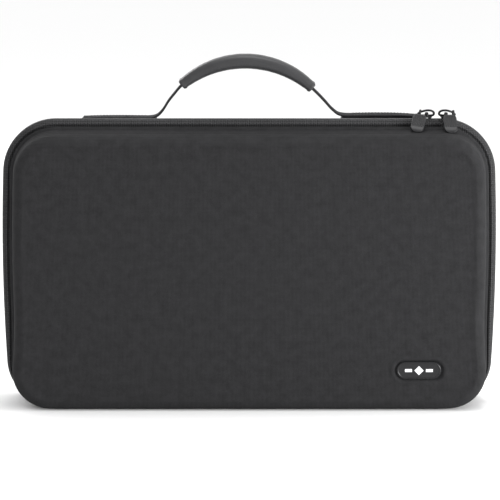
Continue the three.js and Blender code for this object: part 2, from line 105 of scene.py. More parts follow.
CAMERA_LENS, CAMERA_SENSOR = 170.4, 36
CAMERA_ELEVATION, CAMERA_DISTANCE = math.radians(9), 2.4
CAMERA_AIM = Vector((0.00075, 0, 0.157))
WORLD_STRENGTH, FLOOR_WIDTH = 1.05, 40
LIGHTS = [    # name, place, what it points at, size, power
    ("key", (1.2, -1.0, 0.22), (0.1, 0, 0.1), (0.7, 0.4), 21),
    ("side", (1.9, -0.35, 0.35), (0.2, 0, 0.15), (0.8, 0.5), 17),
    ("top", (0.2, 0.12, 2.3), (0.1, 0, 0.1), (1.2, 0.3), 27),
    ("back", (-1.0, 2.2, 0.9), (0, 0, 0.15), (1.2, 0.8), 10),
]


def new_object(name, data):
    made = bpy.data.objects.new(name, data)
    bpy.context.collection.objects.link(made)
    return made


def look_at(obj, target):
    direction = Vector(target) - obj.location
    obj.rotation_euler = direction.to_track_quat("-Z", "Y").to_euler()


def make_camera():
    data = bpy.data.cameras.new("camera")
    data.lens = CAMERA_LENS
    data.sensor_width = CAMERA_SENSOR
    camera = new_object("camera", data)
    away = Vector((0, -math.cos(CAMERA_ELEVATION), math.sin(CAMERA_ELEVATION)))
    camera.location = CAMERA_AIM + CAMERA_DISTANCE * away
    look_at(camera, CAMERA_AIM)
    bpy.context.scene.camera = camera


def area_light(name, location, target, size, power):
    data = bpy.data.lights.new(name, "AREA")
    data.shape = "RECTANGLE"
    data.size, data.size_y = size
    data.energy = power
    light = new_object(name, data)
    light.location = location
    look_at(light, target)


def make_studio():
    world = bpy.data.worlds.new("studio")
    world.use_nodes = True
    background = world.node_tree.nodes["Background"]
    background.inputs["Color"].default_value = (1, 1, 1, 1)
    background.inputs["Strength"].default_value = WORLD_STRENGTH
    bpy.context.scene.world = world
    bpy.context.scene.view_settings.view_transform = "Standard"
    bpy.ops.mesh.primitive_plane_add(size=FLOOR_WIDTH, location=(0, 0, 0))
    floor = bpy.context.object
    floor.name = "studio_floor"
    material, nodes, links, shader = new_material("floor_paint", (0.93, 0.93, 0.93), 0.9)
    grain = node(nodes, "ShaderNodeTexNoise", Scale=4.0, Detail=3.0)
    ramp = mix_colours(nodes, links, grain.outputs["Fac"], (0.91, 0.91, 0.91), (0.94, 0.94, 0.94))
    links.new(ramp, shader.inputs["Base Color"])
    floor.data.materials.append(material)
    for light in LIGHTS:
        area_light(*light)


# ---------------- materials

def node(nodes, kind, **inputs):
    made = nodes.new(kind)
    for name, value in inputs.items():
        made.inputs[name].default_value = value
    return made


def new_material(name, colour, roughness, sheen=0.0, specular=0.5):
    material = bpy.data.materials.new(name)
    material.use_nodes = True
    nodes, links = material.node_tree.nodes, material.node_tree.links
    shader = nodes["Principled BSDF"]
    shader.inputs["Base Color"].default_value = (*colour, 1)
    shader.inputs["Roughness"].default_value = roughness
    shader.inputs["Sheen Weight"].default_value = sheen
    shader.inputs["Sheen Roughness"].default_value = 0.5
    shader.inputs["Specular IOR Level"].default_value = specular
    return material, nodes, links, shader


def mix_colours(nodes, links, factor, dark, light):
    mix = nodes.new("ShaderNodeMix")
    mix.data_type = "RGBA"
    mix.inputs["A"].default_value = (*dark, 1)
    mix.inputs["B"].default_value = (*light, 1)
    links.new(factor, mix.inputs["Factor"])
    return mix.outputs["Result"]


def math_node(nodes, links, operation, first, second):
    made = nodes.new("ShaderNodeMath")
    made.operation = operation
    for socket, value in zip(made.inputs, (first, second)):
        if isinstance(value, (int, float)):
            socket.default_value = value
        else:
            links.new(value, socket)
    return made.outputs[0]


def to_range(nodes, links, value, low, high, from_low=0.3, from_high=0.7):
    made = node(nodes, "ShaderNodeMapRange")
    made.inputs["From Min"].default_value = from_low
    made.inputs["From Max"].default_value = from_high
    made.inputs["To Min"].default_value = low
    made.inputs["To Max"].default_value = high
    links.new(value, made.inputs["Value"])
    return made.outputs[0]


def textured(name, colour, spread, roughness, mottle, grain, bump, sheen=0.0, specular=0.5,
             weave=None, tone=0.0, cells=None):
    """Colour varied by a broad mottle and a fine grain, with a bump from the grain, a weave or cells.

    mottle and grain are the sizes of their patches in mm, and spread is how far the colour varies. weave
    is (rib pitch along x, along z) in mm, and tone is how far it shows in the colour. cells is the size
    of a dimple in mm, and bump is the relief in mm.
    """
    material, nodes, links, shader = new_material(name, colour, roughness, sheen, specular)
    place = nodes.new("ShaderNodeTexCoord").outputs["Object"]
    broad = node(nodes, "ShaderNodeTexNoise", Scale=1 / (mottle * MM), Detail=4.0, Roughness=0.6)
    fine = node(nodes, "ShaderNodeTexNoise", Scale=1 / (grain * MM), Detail=3.0, Roughness=0.65)
    links.new(place, broad.inputs["Vector"])
    links.new(place, fine.inputs["Vector"])
    blend = math_node(nodes, links, "ADD", broad.outputs["Fac"], fine.outputs["Fac"])
    blend = math_node(nodes, links, "MULTIPLY", blend, 0.5)
    smoothest, roughest = max(roughness - 0.08, 0.05), min(roughness + 0.08, 1)
    rough = to_range(nodes, links, fine.outputs["Fac"], smoothest, roughest)
    links.new(rough, shader.inputs["Roughness"])
    height = fine.outputs["Fac"]
    if weave:
        for axis, pitch in zip(("X", "Z"), weave):
            rib = node(nodes, "ShaderNodeTexWave", Scale=2 * math.pi / (20 * pitch * MM), Distortion=0.6)
            rib.bands_direction = axis
            rib.inputs["Detail"].default_value = 1.0
            rib.inputs["Detail Scale"].default_value = 1.5
            links.new(place, rib.inputs["Vector"])
            height = math_node(nodes, links, "ADD", height, rib.outputs["Fac"])
            shade = math_node(nodes, links, "MULTIPLY", rib.outputs["Fac"], tone)
            shade = math_node(nodes, links, "SUBTRACT", shade, tone / 2)
            blend = math_node(nodes, links, "ADD", blend, shade)
    if cells:
        dimple = node(nodes, "ShaderNodeTexVoronoi", Scale=1 / (cells * MM), Randomness=0.9)
        links.new(place, dimple.inputs["Vector"])
        height = math_node(nodes, links, "ADD", height, dimple.outputs["Distance"])
    dark = tuple(c * (1 - spread) for c in colour)
    light = tuple(c * (1 + spread) for c in colour)
    factor = to_range(nodes, links, blend, 0, 1, 0.35, 0.65)
    links.new(mix_colours(nodes, links, factor, dark, light), shader.inputs["Base Color"])
    relief = node(nodes, "ShaderNodeBump", Strength=0.6, Distance=bump * MM)
    links.new(height, relief.inputs["Height"])
    links.new(relief.outputs["Normal"], shader.inputs["Normal"])
    return material


def make_materials():
    return {
        "shell": textured("jersey_laminate", (0.0180, 0.0180, 0.0190), 0.3, 0.85, 9, 1.1, 0.35,
                          specular=0.14, weave=(1.3, 1.3)),
        "tape": textured("zip_tape_weave", (0.0205, 0.0205, 0.0215), 0.4, 0.75, 6, 0.7, 0.6,
                         specular=0.3, weave=(2.2, 2.2), tone=0.3),
        "teeth": textured("moulded_teeth", (0.055, 0.055, 0.057), 0.2, 0.3, 5, 0.8, 0.05),
        "lining": textured("brushed_lining", (0.022, 0.022, 0.024), 0.2, 0.92, 10, 0.9, 0.25, sheen=0.2),
        "binding": textured("grosgrain_binding", (0.028, 0.028, 0.030), 0.25, 0.8, 8, 0.8, 0.25,
                            weave=(1.8, 1.8)),
        "webbing": textured("woven_webbing", (0.013, 0.013, 0.014), 0.3, 0.8, 7, 0.8, 0.4,
                            specular=0.2, weave=(1.5, 2.0)),
        "thread": textured("sewing_thread", (0.045, 0.045, 0.048), 0.25, 0.7, 3, 0.4, 0.05),
        "foam": textured("open_cell_foam", (0.022, 0.022, 0.024), 0.35, 0.95, 12, 1.0, 0.5, cells=1.4),
        "grip": textured("grained_rubber", (0.0235, 0.0235, 0.025), 0.18, 0.5, 14, 1.2, 0.22,
                         specular=0.35, cells=1.8),
        "tab": textured("moulded_tab", (0.012, 0.012, 0.013), 0.15, 0.44, 5, 0.7, 0.05,
                        specular=0.24),
        "metal": textured("black_plated_zinc", (0.005, 0.005, 0.006), 0.3, 0.34, 3, 0.5, 0.03, specular=0.22),
        "badge": textured("badge_lacquer", (0.007, 0.007, 0.008), 0.2, 0.3, 4, 0.6, 0.03, specular=0.3),
        "print": textured("badge_print", (0.75, 0.75, 0.76), 0.04, 0.5, 4, 0.6, 0.02),
    }


# ---------------- mesh helpers

def mesh_piece(name, points, faces, material, smooth=True, sharp=None):
    mesh = bpy.data.meshes.new(name)
    mesh.from_pydata([tuple(p) for p in np.asarray(points) * MM], [], [tuple(f) for f in faces])
    mesh.validate()
    tidy = bmesh.new()
    tidy.from_mesh(mesh)
    bmesh.ops.remove_doubles(tidy, verts=tidy.verts, dist=1e-6)
    bmesh.ops.recalc_face_normals(tidy, faces=tidy.faces)
    tidy.to_mesh(mesh)
    tidy.free()
    return finished(name, mesh, material, smooth, sharp)


def finished(name, mesh, material, smooth, sharp):
    mesh.materials.append(material)
    if smooth:
        mesh.shade_smooth()
    if sharp is not None:
        mesh.set_sharp_from_angle(angle=math.radians(sharp))
    return new_object(name, mesh)


def xyz(x, y, z):
    """Points from their coordinates; a single value is repeated."""
    return np.stack(np.broadcast_arrays(x, y, z), axis=1)


def grid_faces(rows, columns, closed_rows=False, closed_columns=True):
    faces = []
    for r in range(rows if closed_rows else rows - 1):
        for c in range(columns if closed_columns else columns - 1):
            a, b = r * columns + c, r * columns + (c + 1) % columns
            shift = ((r + 1) % rows) * columns - r * columns
            faces.append((a, b, b + shift, a + shift))
    return faces


def loft(sections, closed=False):
    """Points and faces of a skin through equal sections; open skins get an end face at both ends."""
    sections = [np.asarray(s, float) for s in sections]
    rows, columns = len(sections), len(sections[0])
    faces = grid_faces(rows, columns, closed_rows=closed)
    if not closed:
        faces.append(tuple(reversed(range(columns))))
        faces.append(tuple(range((rows - 1) * columns, rows * columns)))
    return np.concatenate(sections), faces


class Parts:
    """Several closed shapes gathered into one mesh."""

    def __init__(self):
        self.points, self.faces = [], []

    def add(self, points, faces):
        start = sum(len(p) for p in self.points)
        self.points.append(np.asarray(points, float))
        self.faces += [tuple(i + start for i in f) for f in faces]

    def piece(self, name, material, **options):
        return mesh_piece(name, np.concatenate(self.points), self.faces, material, **options)


def tube(path, radius, sides=8, closed=False, flat=1.0, up=(0, 1, 0)):
    """A round wire or thread along a path; flat squashes it along up."""
    path = np.asarray(path, float)
    if closed:
        ahead = np.roll(path, -1, 0) - np.roll(path, 1, 0)
    else:
        ahead = np.gradient(path, axis=0)
    ahead /= np.linalg.norm(ahead, axis=1)[:, None]
    side = np.cross(ahead, up)
    side /= np.linalg.norm(side, axis=1)[:, None]
    lift = np.cross(side, ahead)
    turn = np.linspace(0, 2 * math.pi, sides, endpoint=False)
    sections = [point + radius * (np.outer(np.cos(turn), aside) + flat * np.outer(np.sin(turn), above))
                for point, aside, above in zip(path, side, lift)]
    return loft(sections, closed=closed)


def capsule(centre, along, length, radius, rings=5, sides=6, up=(0, 1, 0), flat=1.0):
    """A short rounded rod: one stitch or one zip tooth."""
    along = np.asarray(along, float) / np.linalg.norm(along)
    steps = np.linspace(-1, 1, rings)
    side = np.cross(along, up)
    side /= np.linalg.norm(side)
    lift = np.cross(side, along)
    turn = np.linspace(0, 2 * math.pi, sides, endpoint=False)
    around = np.outer(np.cos(turn), side) + flat * np.outer(np.sin(turn), lift)
    shape = np.sqrt(np.clip(1 - (np.abs(steps) ** 3), 0.12, 1))
    return loft([np.asarray(centre) + along * (s * length / 2) + around * radius * w
                 for s, w in zip(steps, shape)])


def oblong(half_a, half_b, corner_a, corner_b, across, down=2, steps=5):
    """A rectangle with rounded corners, evenly divided along its sides."""
    flat_a, flat_b = half_a - corner_a, half_b - corner_b
    a, b = [], []
    for quarter, (sign_a, sign_b) in enumerate(((1, 1), (-1, 1), (-1, -1), (1, -1))):
        arc = (quarter + np.linspace(0, 1, steps + 1)) * math.pi / 2
        a += list(sign_a * flat_a + corner_a * np.cos(arc))
        b += list(sign_b * flat_b + corner_b * np.sin(arc))
        if quarter % 2 == 0:
            inner = np.linspace(sign_a * flat_a, -sign_a * flat_a, across + 2)[1:-1]
            a += list(inner)
            b += [sign_b * half_b] * across
        else:
            inner = np.linspace(sign_b * flat_b, -sign_b * flat_b, down + 2)[1:-1]
            a += [sign_a * half_a] * down
            b += list(inner)
    return np.array(a), np.array(b)


def smooth_step(low, high, value):
    t = np.clip((value - low) / (high - low), 0, 1)
    return t * t * (3 - 2 * t)


def catmull_rom(a, b, c, d, steps):
    """The curve from b up to c, where a and d are the points on either side."""
    return [0.5 * (2 * b + (c - a) * t + (2 * a - 5 * b + 4 * c - d) * t ** 2
                   + (3 * b - a - 3 * c + d) * t ** 3) for t in np.linspace(0, 1, steps, endpoint=False)]


def spline(points, steps):
    """An open curve through the points, as evenly spaced steps."""
    points = np.asarray(points, float)
    padded = np.vstack([2 * points[0] - points[1], points, 2 * points[-1] - points[-2]])
    dense = []
    for i in range(1, len(padded) - 2):
        dense += catmull_rom(*padded[i - 1:i + 3], 24)
    return resample(np.array(dense + [points[-1]]), steps)


def closed_spline(points, steps):
    points = np.asarray(points, float)
    wrapped = np.vstack([points[-1:], points, points[:2]])
    dense = []
    for i in range(1, len(points) + 1):
        dense += catmull_rom(*wrapped[i - 1:i + 3], 16)
    return resample(np.array(dense + [dense[0]]), steps + 1)[:-1]


def length_along(path):
    """Distance from the path's start to each of its points."""
    return np.concatenate([[0], np.cumsum(np.linalg.norm(np.diff(path, axis=0), axis=1))])


def resample(path, steps):
    length = length_along(path)
    wanted = np.linspace(0, length[-1], steps)
    return np.stack([np.interp(wanted, length, path[:, k]) for k in range(path.shape[1])], axis=1)


# ---------------- the case's outline

def corner_arc(radius, centre_z):
    rise, reach = centre_z - SIDE_CENTRE_Z, SIDE_RADIUS - radius
    centre_x = HALF_WIDTH - SIDE_RADIUS + math.sqrt(reach ** 2 - rise ** 2)
    return centre_x, math.asin(rise / reach)


TOP_X, TOP_ANGLE = corner_arc(TOP_RADIUS, CREST_Z - TOP_RADIUS)
BOTTOM_X, BOTTOM_ANGLE = corner_arc(BOTTOM_RADIUS, BOTTOM_RADIUS)
CORNER_RUN = BOTTOM_RADIUS * (BOTTOM_ANGLE + math.pi / 2)


def floor_share(run):
    """0 low on the side, 1 a little way along the flat bottom; run starts where the side ends."""
    return float(smooth_step(FLOOR_RUN_IN, CORNER_RUN + FLOOR_RUN_OUT, run))


def arc_stations(centre, radius, start, end, step, share=lambda a: 0.0):
    angles = np.linspace(start, end, max(int(radius * (end - start) / step), 4), endpoint=False)
    return [(centre[0] + radius * math.cos(a), centre[1] + radius * math.sin(a),
             math.cos(a), math.sin(a), share(a)) for a in angles]


def flat_stations(start, end, z, up, step, share=lambda x: 0.0):
    steps = np.linspace(start, end, max(int(abs(end - start) / step), 3), endpoint=False)
    return [(x, z, 0.0, up, share(x)) for x in steps]


def outline_stations(step):
    """The right half, bottom to top, then the left half back down: x, z, outward normal, floor share."""
    flat_end = BOTTOM_X - FLOOR_RUN_OUT
    right = flat_stations(0, flat_end, 0.0, -1.0, step, lambda x: 1.0)
    right += flat_stations(flat_end, BOTTOM_X, 0.0, -1.0, step,
                           lambda x: floor_share(CORNER_RUN + BOTTOM_X - x))
    right += arc_stations((BOTTOM_X, BOTTOM_RADIUS), BOTTOM_RADIUS, -math.pi / 2, BOTTOM_ANGLE, step,
                          lambda a: floor_share(BOTTOM_RADIUS * (BOTTOM_ANGLE - a)))
    side_centre = (HALF_WIDTH - SIDE_RADIUS, SIDE_CENTRE_Z)
    right += arc_stations(side_centre, SIDE_RADIUS, BOTTOM_ANGLE, TOP_ANGLE, step,
                          lambda a: floor_share(SIDE_RADIUS * (BOTTOM_ANGLE - a)))
    right += arc_stations((TOP_X, CREST_Z - TOP_RADIUS), TOP_RADIUS, TOP_ANGLE, math.pi / 2, step)
    right += flat_stations(TOP_X, 0, CREST_Z, 1.0, step) + [(0.0, CREST_Z, 0.0, 1.0, 0.0)]
    left = [(-x, z, -nx, nz, f) for x, z, nx, nz, f in reversed(right[1:-1])]
    return np.array(right + left)


OUTLINE = outline_stations(OUTLINE_STEP)


def ring(inset, floor, y, stations=None):
    s = OUTLINE if stations is None else stations
    depth = inset + (floor - inset) * s[:, 4]
    return xyz(s[:, 0] - s[:, 2] * depth, y, s[:, 1] - s[:, 3] * depth)


def rings(profile, side, stations=None):
    """A ring for each (inset, floor, distance from the parting plane)."""
    return [ring(i, f, side * y, stations) for i, f, y in profile]


def skin(rows):
    """Points and faces of a skin through rings that all follow OUTLINE."""
    return np.concatenate(rows), grid_faces(len(rows), len(OUTLINE))


def band_stations(end_angle=-math.pi / 2):
    """The outline without its flat bottom, from low on the right, over the top, to low on the left."""
    s = outline_stations(BAND_STEP)
    high_enough = np.arctan2(s[:, 3], np.abs(s[:, 2])) >= end_angle - 1e-9
    on_flat = (s[:, 3] == -1.0) & (np.abs(s[:, 0]) < BOTTOM_X - 1e-6)
    return s[high_enough & ~on_flat]


def band(section, side, stations):
    """Carries a closed section of (inset, floor, distance from the parting plane) along the stations."""
    return loft(np.stack(rings(section, side, stations), axis=1))


# ---------------- shells

def badge_distance(points):
    """Distance in the face's plane from the edge of the badge's recess; negative inside it."""
    half = (RECESS_SIZE[0] - RECESS_SIZE[1]) / 2
    dx = np.abs(points[:, 0] - BADGE_CENTRE[0]) - half
    dz = points[:, 2] - BADGE_CENTRE[2]
    return np.hypot(np.clip(dx, 0, None), dz) - RECESS_SIZE[1] / 2


def face_rings(edge, count, y, last=1.0):
    """Shrinks a ring in its plane onto a short line at the face's middle."""
    middle = xyz(np.clip(edge[:, 0], -FACE_LINE_HALF, FACE_LINE_HALF), y, MIDDLE_Z)
    return [edge + (middle - edge) * t for t in np.linspace(0, last, count + 1)[1:]]


def shell_profile(wall):
    """The outside from the parting lip to the face, as (inset, floor, distance from the parting plane)."""
    start, end = wall
    lip = [(12.6, 4.0, 7.3), (9.6, 0.6, 7.1), (8.7, 0.0, 7.5), (8.2, 0.0, 8.1), (8.1, 0.0, 8.8),
           (8.5, 0.0, 9.5), (9.3, 0.0, 10.1), (start + 0.1, 0.0, 10.7)]
    walls = [(start + (end - start) * t, 0.0, 11.5 + (FILLET_Y - 11.5) * t)
             for t in np.linspace(0, 1, 7)[:-1]]
    fillet = []
    for turn in np.linspace(0, math.pi / 2, 13):
        run = FILLET_RADIUS * (1 - math.cos(turn))
        fillet.append((end + run, run, FILLET_Y + FILLET_RADIUS * math.sin(turn)))
    return lip + walls + fillet


def inner_profile(wall, gap):
    """The inside of the wall, or a lining's surface gap mm further in."""
    start, end = wall[0] + WALL + gap, wall[1]
    radius = FILLET_RADIUS - WALL - gap
    rows = [(start, WALL + gap, 9.9)]
    for turn in np.linspace(0, math.pi / 2, 7):
        run = FILLET_RADIUS - radius * math.cos(turn)
        rows.append((end + run, run, FILLET_Y + radius * math.sin(turn)))
    return rows


def soften(points, side):
    """Small dents and swells that a moulded fabric face has, fading out at the floor."""
    for p in points:
        wave = noise.noise(Vector([c / size for c, size in zip(p, BROAD_WAVE)]))
        ripple = noise.noise(Vector([c / size for c, size in zip(p, FINE_WAVE)]))
        fade = min(max(p[2] / CALM_HEIGHT, 0), 1)
        p[1] += side * (SOFTNESS * wave + 0.25 * SOFTNESS * ripple) * fade


def refine_near_badge(points, faces):
    """Splits the faces near the recess until its wall and lip have enough points."""
    mesh = bmesh.new()
    verts = [mesh.verts.new(p) for p in points]
    for f in faces:
        mesh.faces.new([verts[i] for i in f])
    for reach in (9.0, 6.0):
        mesh.verts.ensure_lookup_table()
        near = np.abs(badge_distance(np.array([v.co for v in mesh.verts]))) < reach
        front = {v for v, n in zip(mesh.verts, near) if n and v.co.y < -FILLET_Y}
        edges = [e for e in mesh.edges if e.verts[0] in front and e.verts[1] in front]
        bmesh.ops.subdivide_edges(mesh, edges=edges, cuts=1, use_grid_fill=True)
    mesh.verts.index_update()
    new_points = np.array([v.co for v in mesh.verts])
    new_faces = [tuple(v.index for v in f.verts) for f in mesh.faces]
    mesh.free()
    return new_points, new_faces


def press_recess(points):
    distance = badge_distance(points)
    on_face = points[:, 1] < -(HALF_DEPTH - 1.5)
    sink = RECESS_DEPTH * (1 - smooth_step(*RECESS_WALL, distance))
    lip = LIP_HEIGHT * np.exp(-((distance - LIP_PLACE) / LIP_SPREAD) ** 2)
    points[:, 1] += np.where(on_face, sink - lip, 0)


def shell_piece(side, material):
    half, body, wall = HALVES[side]
    outer = rings(shell_profile(wall), side)
    outer += face_rings(outer[-1], FACE_RINGS, side * HALF_DEPTH)
    inner = rings(inner_profile(wall, 0.0), side)
    inner += face_rings(inner[-1], 4, inner[-1][0, 1])
    rows = list(reversed(inner)) + outer
    points, faces = skin(rows)
    outside = np.arange(len(points)) >= len(inner) * len(OUTLINE)
    crown = 1 - (np.abs(points[:, 0]) / CROWN_HALF_WIDTH) ** 4
    upright = 1 - ((points[:, 2] - MIDDLE_Z) / CROWN_HALF_HEIGHT) ** 4
    crown = CROWN * np.clip(crown, 0, 1) * np.clip(upright, 0, 1)
    face = outside & (np.abs(points[:, 1]) > HALF_DEPTH - 0.01)
    points[face, 1] += side * (crown[face] - CROWN)
    moved = points[outside].copy()
    soften(moved, side)
    points[outside] = moved
    if side < 0:
        points, faces = refine_near_badge(points, faces)
        press_recess(points)
    own(mesh_piece(f"{half}_shell_skin", points, faces, material), body, "shell_fabric", f"{half}_shell")


def own(piece, body, slot, *nodes):
    """The piece rides on a body and stands for CAD nodes, which are hidden; slot is not used."""
    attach(piece, body)
    if nodes:
        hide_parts(*nodes)


def lining_piece(side, material):
    half, body, wall = HALVES[side]
    outer = rings(inner_profile(wall, LINING_GAP), side)
    inner = rings(inner_profile(wall, LINING_GAP + LINING_THICKNESS), side)
    outer += face_rings(outer[-1], 5, outer[-1][0, 1])
    inner += face_rings(inner[-1], 5, inner[-1][0, 1])
    rows = list(reversed(inner)) + outer
    piece = mesh_piece(f"{half}_lining_skin", *skin(rows), material)
    own(piece, body, "lining_fabric", f"{half}_lining")


# ---------------- zip

# Sections are (inset, floor, distance from the parting plane), once round.
TAPE_SECTION = [(1.0, 0.3, 3.1), (1.5, 0.25, 3.9), (2.4, 0.2, 4.8), (3.6, 0.2, 5.6), (4.9, 0.2, 6.1),
                (5.7, 0.2, 5.9), (6.3, 0.3, 5.1), (6.9, 0.5, 4.6), (7.6, 0.8, 4.5), (9.0, 1.5, 5.4),
                (9.6, 1.9, 6.5), (10.2, 2.1, 6.5), (9.8, 2.2, 5.4), (8.2, 1.8, 3.8), (7.0, 1.4, 3.5),
                (5.0, 1.3, 4.2), (2.6, 1.3, 3.3), (1.8, 1.0, 3.0)]
BINDING_SECTION = [(10.0, 2.3, 5.5), (10.0, 2.3, 6.7), (10.4, 2.4, 6.9), (15.0, 4.4, 6.9), (15.5, 4.6, 6.7),
                   (15.5, 4.6, 5.5), (15.0, 4.4, 5.3), (10.4, 2.4, 5.3)]
TOOTH_PITCH, TOOTH_DEPTH, TOOTH_RADIUS = 2.3, 1.15, 0.62
COIL_END, SEAM_END = math.radians(-64), math.radians(-75)
CORDS = ((0.35, 2.1), (0.6, 2.8))    # inset and distance of the cords that hold the teeth
CORD_RADIUS, CORD_FLOOR = 0.28, 0.35
TAPE_SEAMS = ((4.6, 6.1), (2.0, 4.6))
STITCH_SPACING, STITCH_LENGTH, STITCH_RADIUS = 3.6, 2.5, 0.26
STOP_RADIUS, STOP_LENGTH, STOP_SPACING, STOP_SLANT = 1.15, 2.7, 2.0, math.radians(20)


def along_band(stations, spacing, offset=0.0):
    """Evenly spaced places along the stations: point, tangent and outward normal, in the XZ plane."""
    length = length_along(stations[:, :2])
    wanted = np.arange(offset, length[-1], spacing)
    values = [np.interp(wanted, length, stations[:, k]) for k in range(5)]
    for x, z, nx, nz, floor in zip(*values):
        normal = np.array([nx, 0, nz]) / math.hypot(nx, nz)
        yield np.array([x, 0, z]), np.array([normal[2], 0, -normal[0]]), normal, floor


def teeth(side, material):
    half, body, _ = HALVES[side]
    parts = Parts()
    offset = TOOTH_PITCH * (0.25 if side > 0 else 0.75)
    stations = band_stations(COIL_END)
    for point, tangent, normal, _ in along_band(stations, TOOTH_PITCH, offset):
        base = point - normal * TOOTH_DEPTH
        leg, head = base + [0, side * 1.35, 0], base + [0, side * 0.05, 0]
        parts.add(*capsule(leg, (0, 1, 0), 3.5, TOOTH_RADIUS, up=normal, flat=1.5))
        parts.add(*capsule(head, tangent, 1.5, TOOTH_RADIUS, up=normal, flat=1.4))
    for inset, reach in CORDS:
        parts.add(*tube(ring(inset, CORD_FLOOR, side * reach, stations), CORD_RADIUS, 6))
    own(parts.piece(f"{half}_zip_coil_teeth", material), body, "zip_teeth", f"{half}_zip_coil")


def stitch_row(stations, inset, floor, y):
    for point, tangent, normal, share in along_band(stations, STITCH_SPACING, STITCH_SPACING / 2):
        centre = point - normal * (inset + (floor - inset) * share) + [0, y, 0]
        yield capsule(centre, tangent, STITCH_LENGTH, STITCH_RADIUS, sides=5)


def tape_piece(side, materials):
    half, body, _ = HALVES[side]
    cloth = band(TAPE_SECTION, side, band_stations())
    piece = mesh_piece(f"{half}_zip_tape_cloth", *cloth, materials["tape"])
    own(piece, body, "zip_tape", f"{half}_zip_tape")
    seams = Parts()
    for inset, y in TAPE_SEAMS:
        for stitch in stitch_row(band_stations(SEAM_END), inset, 0.3, side * y):
            seams.add(*stitch)
    own(seams.piece(f"{half}_zip_stitches", materials["thread"]), body, "zip_tape")


def binding_piece(side, material):
    half, body, _ = HALVES[side]
    ribbon = band(BINDING_SECTION, side, band_stations())
    own(mesh_piece(f"{half}_binding_ribbon", *ribbon, material), body, "lining_fabric", f"{half}_binding")


def zip_stop(name, slant, material):
    low, high = node_box(name)
    centre = (low + high) / 2
    parts = Parts()
    for shift in (-STOP_SPACING, 0, STOP_SPACING):
        rod = centre + np.array([math.cos(slant) * shift, 0, -math.sin(slant) * shift])
        parts.add(*capsule(rod, (0, 1, 0), STOP_LENGTH, STOP_RADIUS, rings=7, sides=10, up=(0, 0, 1)))
    piece = parts.piece(f"{name}_clamp", material)
    own(piece, "base", "dark_metal", name)


def spine_piece(material):
    """The fabric hinge along the bottom, from shell to shell."""
    half, reach, thickness = node_box("back_spine")[1]
    columns, across = 96, 24
    lower, upper = [], []
    for x in np.linspace(-half, half, columns):
        for y in np.linspace(-reach, reach, across):
            groove = 0.35 * math.exp(-(y / 1.2) ** 2)
            rib = 0.05 * math.cos(2 * math.pi * x / 4)
            lower.append((x, y, 0.12 + groove))
            upper.append((x, y, thickness - 0.1 - groove * 0.3 + rib))
    points = np.array(lower + upper)
    n = columns * across
    faces = grid_faces(columns, across, closed_columns=False)
    faces = [tuple(reversed(f)) for f in faces] + [tuple(i + n for i in f) for f in faces]
    for line in (range(0, n, across), range(across - 1, n, across), range(across), range(n - across, n)):
        faces += [(a, b, b + n, a + n) for a, b in zip(line, line[1:])]
    piece = mesh_piece("hinge_spine", points, faces, material)
    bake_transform(piece)
    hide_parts("back_spine", "front_spine")


# ---------------- foam

FOAM_GAP, FOAM_ROUND, FOAM_SHARP = 6.1, 0.7, 35
TRAY_OPENING, TRAY_CORNER = ((-214.0, 18.0), (214.0, 258.0)), 6.0
PAD_TURN = (0, 1.4, 5.2)
PEAK_PITCH, PEAK_HEIGHT = 30.0, 7.0


def filled_outline(name, loops, front, back, soft, material):
    """A flat slab of foam with holes, its cut edges slightly rounded."""
    curve = bpy.data.curves.new(name, "CURVE")
    curve.dimensions = "2D"
    curve.fill_mode = "BOTH"
    curve.extrude = (back - front) / 2 * MM - soft * MM
    curve.bevel_depth = soft * MM
    curve.bevel_resolution = 2
    curve.offset = -soft * MM
    for loop in loops:
        spline_data = curve.splines.new("POLY")
        spline_data.points.add(len(loop) - 1)
        for point, (x, z) in zip(spline_data.points, loop):
            point.co = (x * MM, z * MM, 0, 1)
        spline_data.use_cyclic_u = True
    holder = new_object(name + "_curve", curve)
    bpy.context.view_layer.update()
    mesh = bpy.data.meshes.new_from_object(holder.evaluated_get(bpy.context.evaluated_depsgraph_get()))
    bpy.data.objects.remove(holder)
    tidy = bmesh.new()
    tidy.from_mesh(mesh)
    bmesh.ops.remove_doubles(tidy, verts=tidy.verts, dist=2e-5)
    for v in tidy.verts:
        x, z, y = v.co
        v.co = (x, (front + back) / 2 * MM - y, z)
    bmesh.ops.recalc_face_normals(tidy, faces=tidy.faces)
    tidy.to_mesh(mesh)
    tidy.free()
    mesh.name = name
    mesh.materials.clear()
    return finished(name, mesh, material, True, FOAM_SHARP)


def rounded_rectangle(low, high, radius, steps=7):
    corners = [(high[0] - radius, low[1] + radius, -90), (high[0] - radius, high[1] - radius, 0),
               (low[0] + radius, high[1] - radius, 90), (low[0] + radius, low[1] + radius, 180)]
    loop = []
    for x, z, start in corners:
        for angle in np.radians(np.linspace(start, start + 90, steps)):
            loop.append((x + radius * math.cos(angle), z + radius * math.sin(angle)))
    return loop


def soft_block(low, high, soft):
    """A block of foam with its edges rounded over."""
    low, high = np.asarray(low, float), np.asarray(high, float)
    centre, half = (low + high) / 2, (high - low) / 2
    sections = []
    for depth in (0.0, 0.3, 1.0):
        shrink = soft * (1 - math.sqrt(1 - (1 - depth) ** 2))
        across, up = oblong(half[0] - shrink, half[2] - shrink, soft, soft, 3, down=3, steps=3)
        sections.append((low[1] + soft * depth, across, up))
    sections += [(low[1] + high[1] - y, across, up) for y, across, up in reversed(sections)]
    return loft([xyz(centre[0] + across, y, centre[2] + up) for y, across, up in sections])


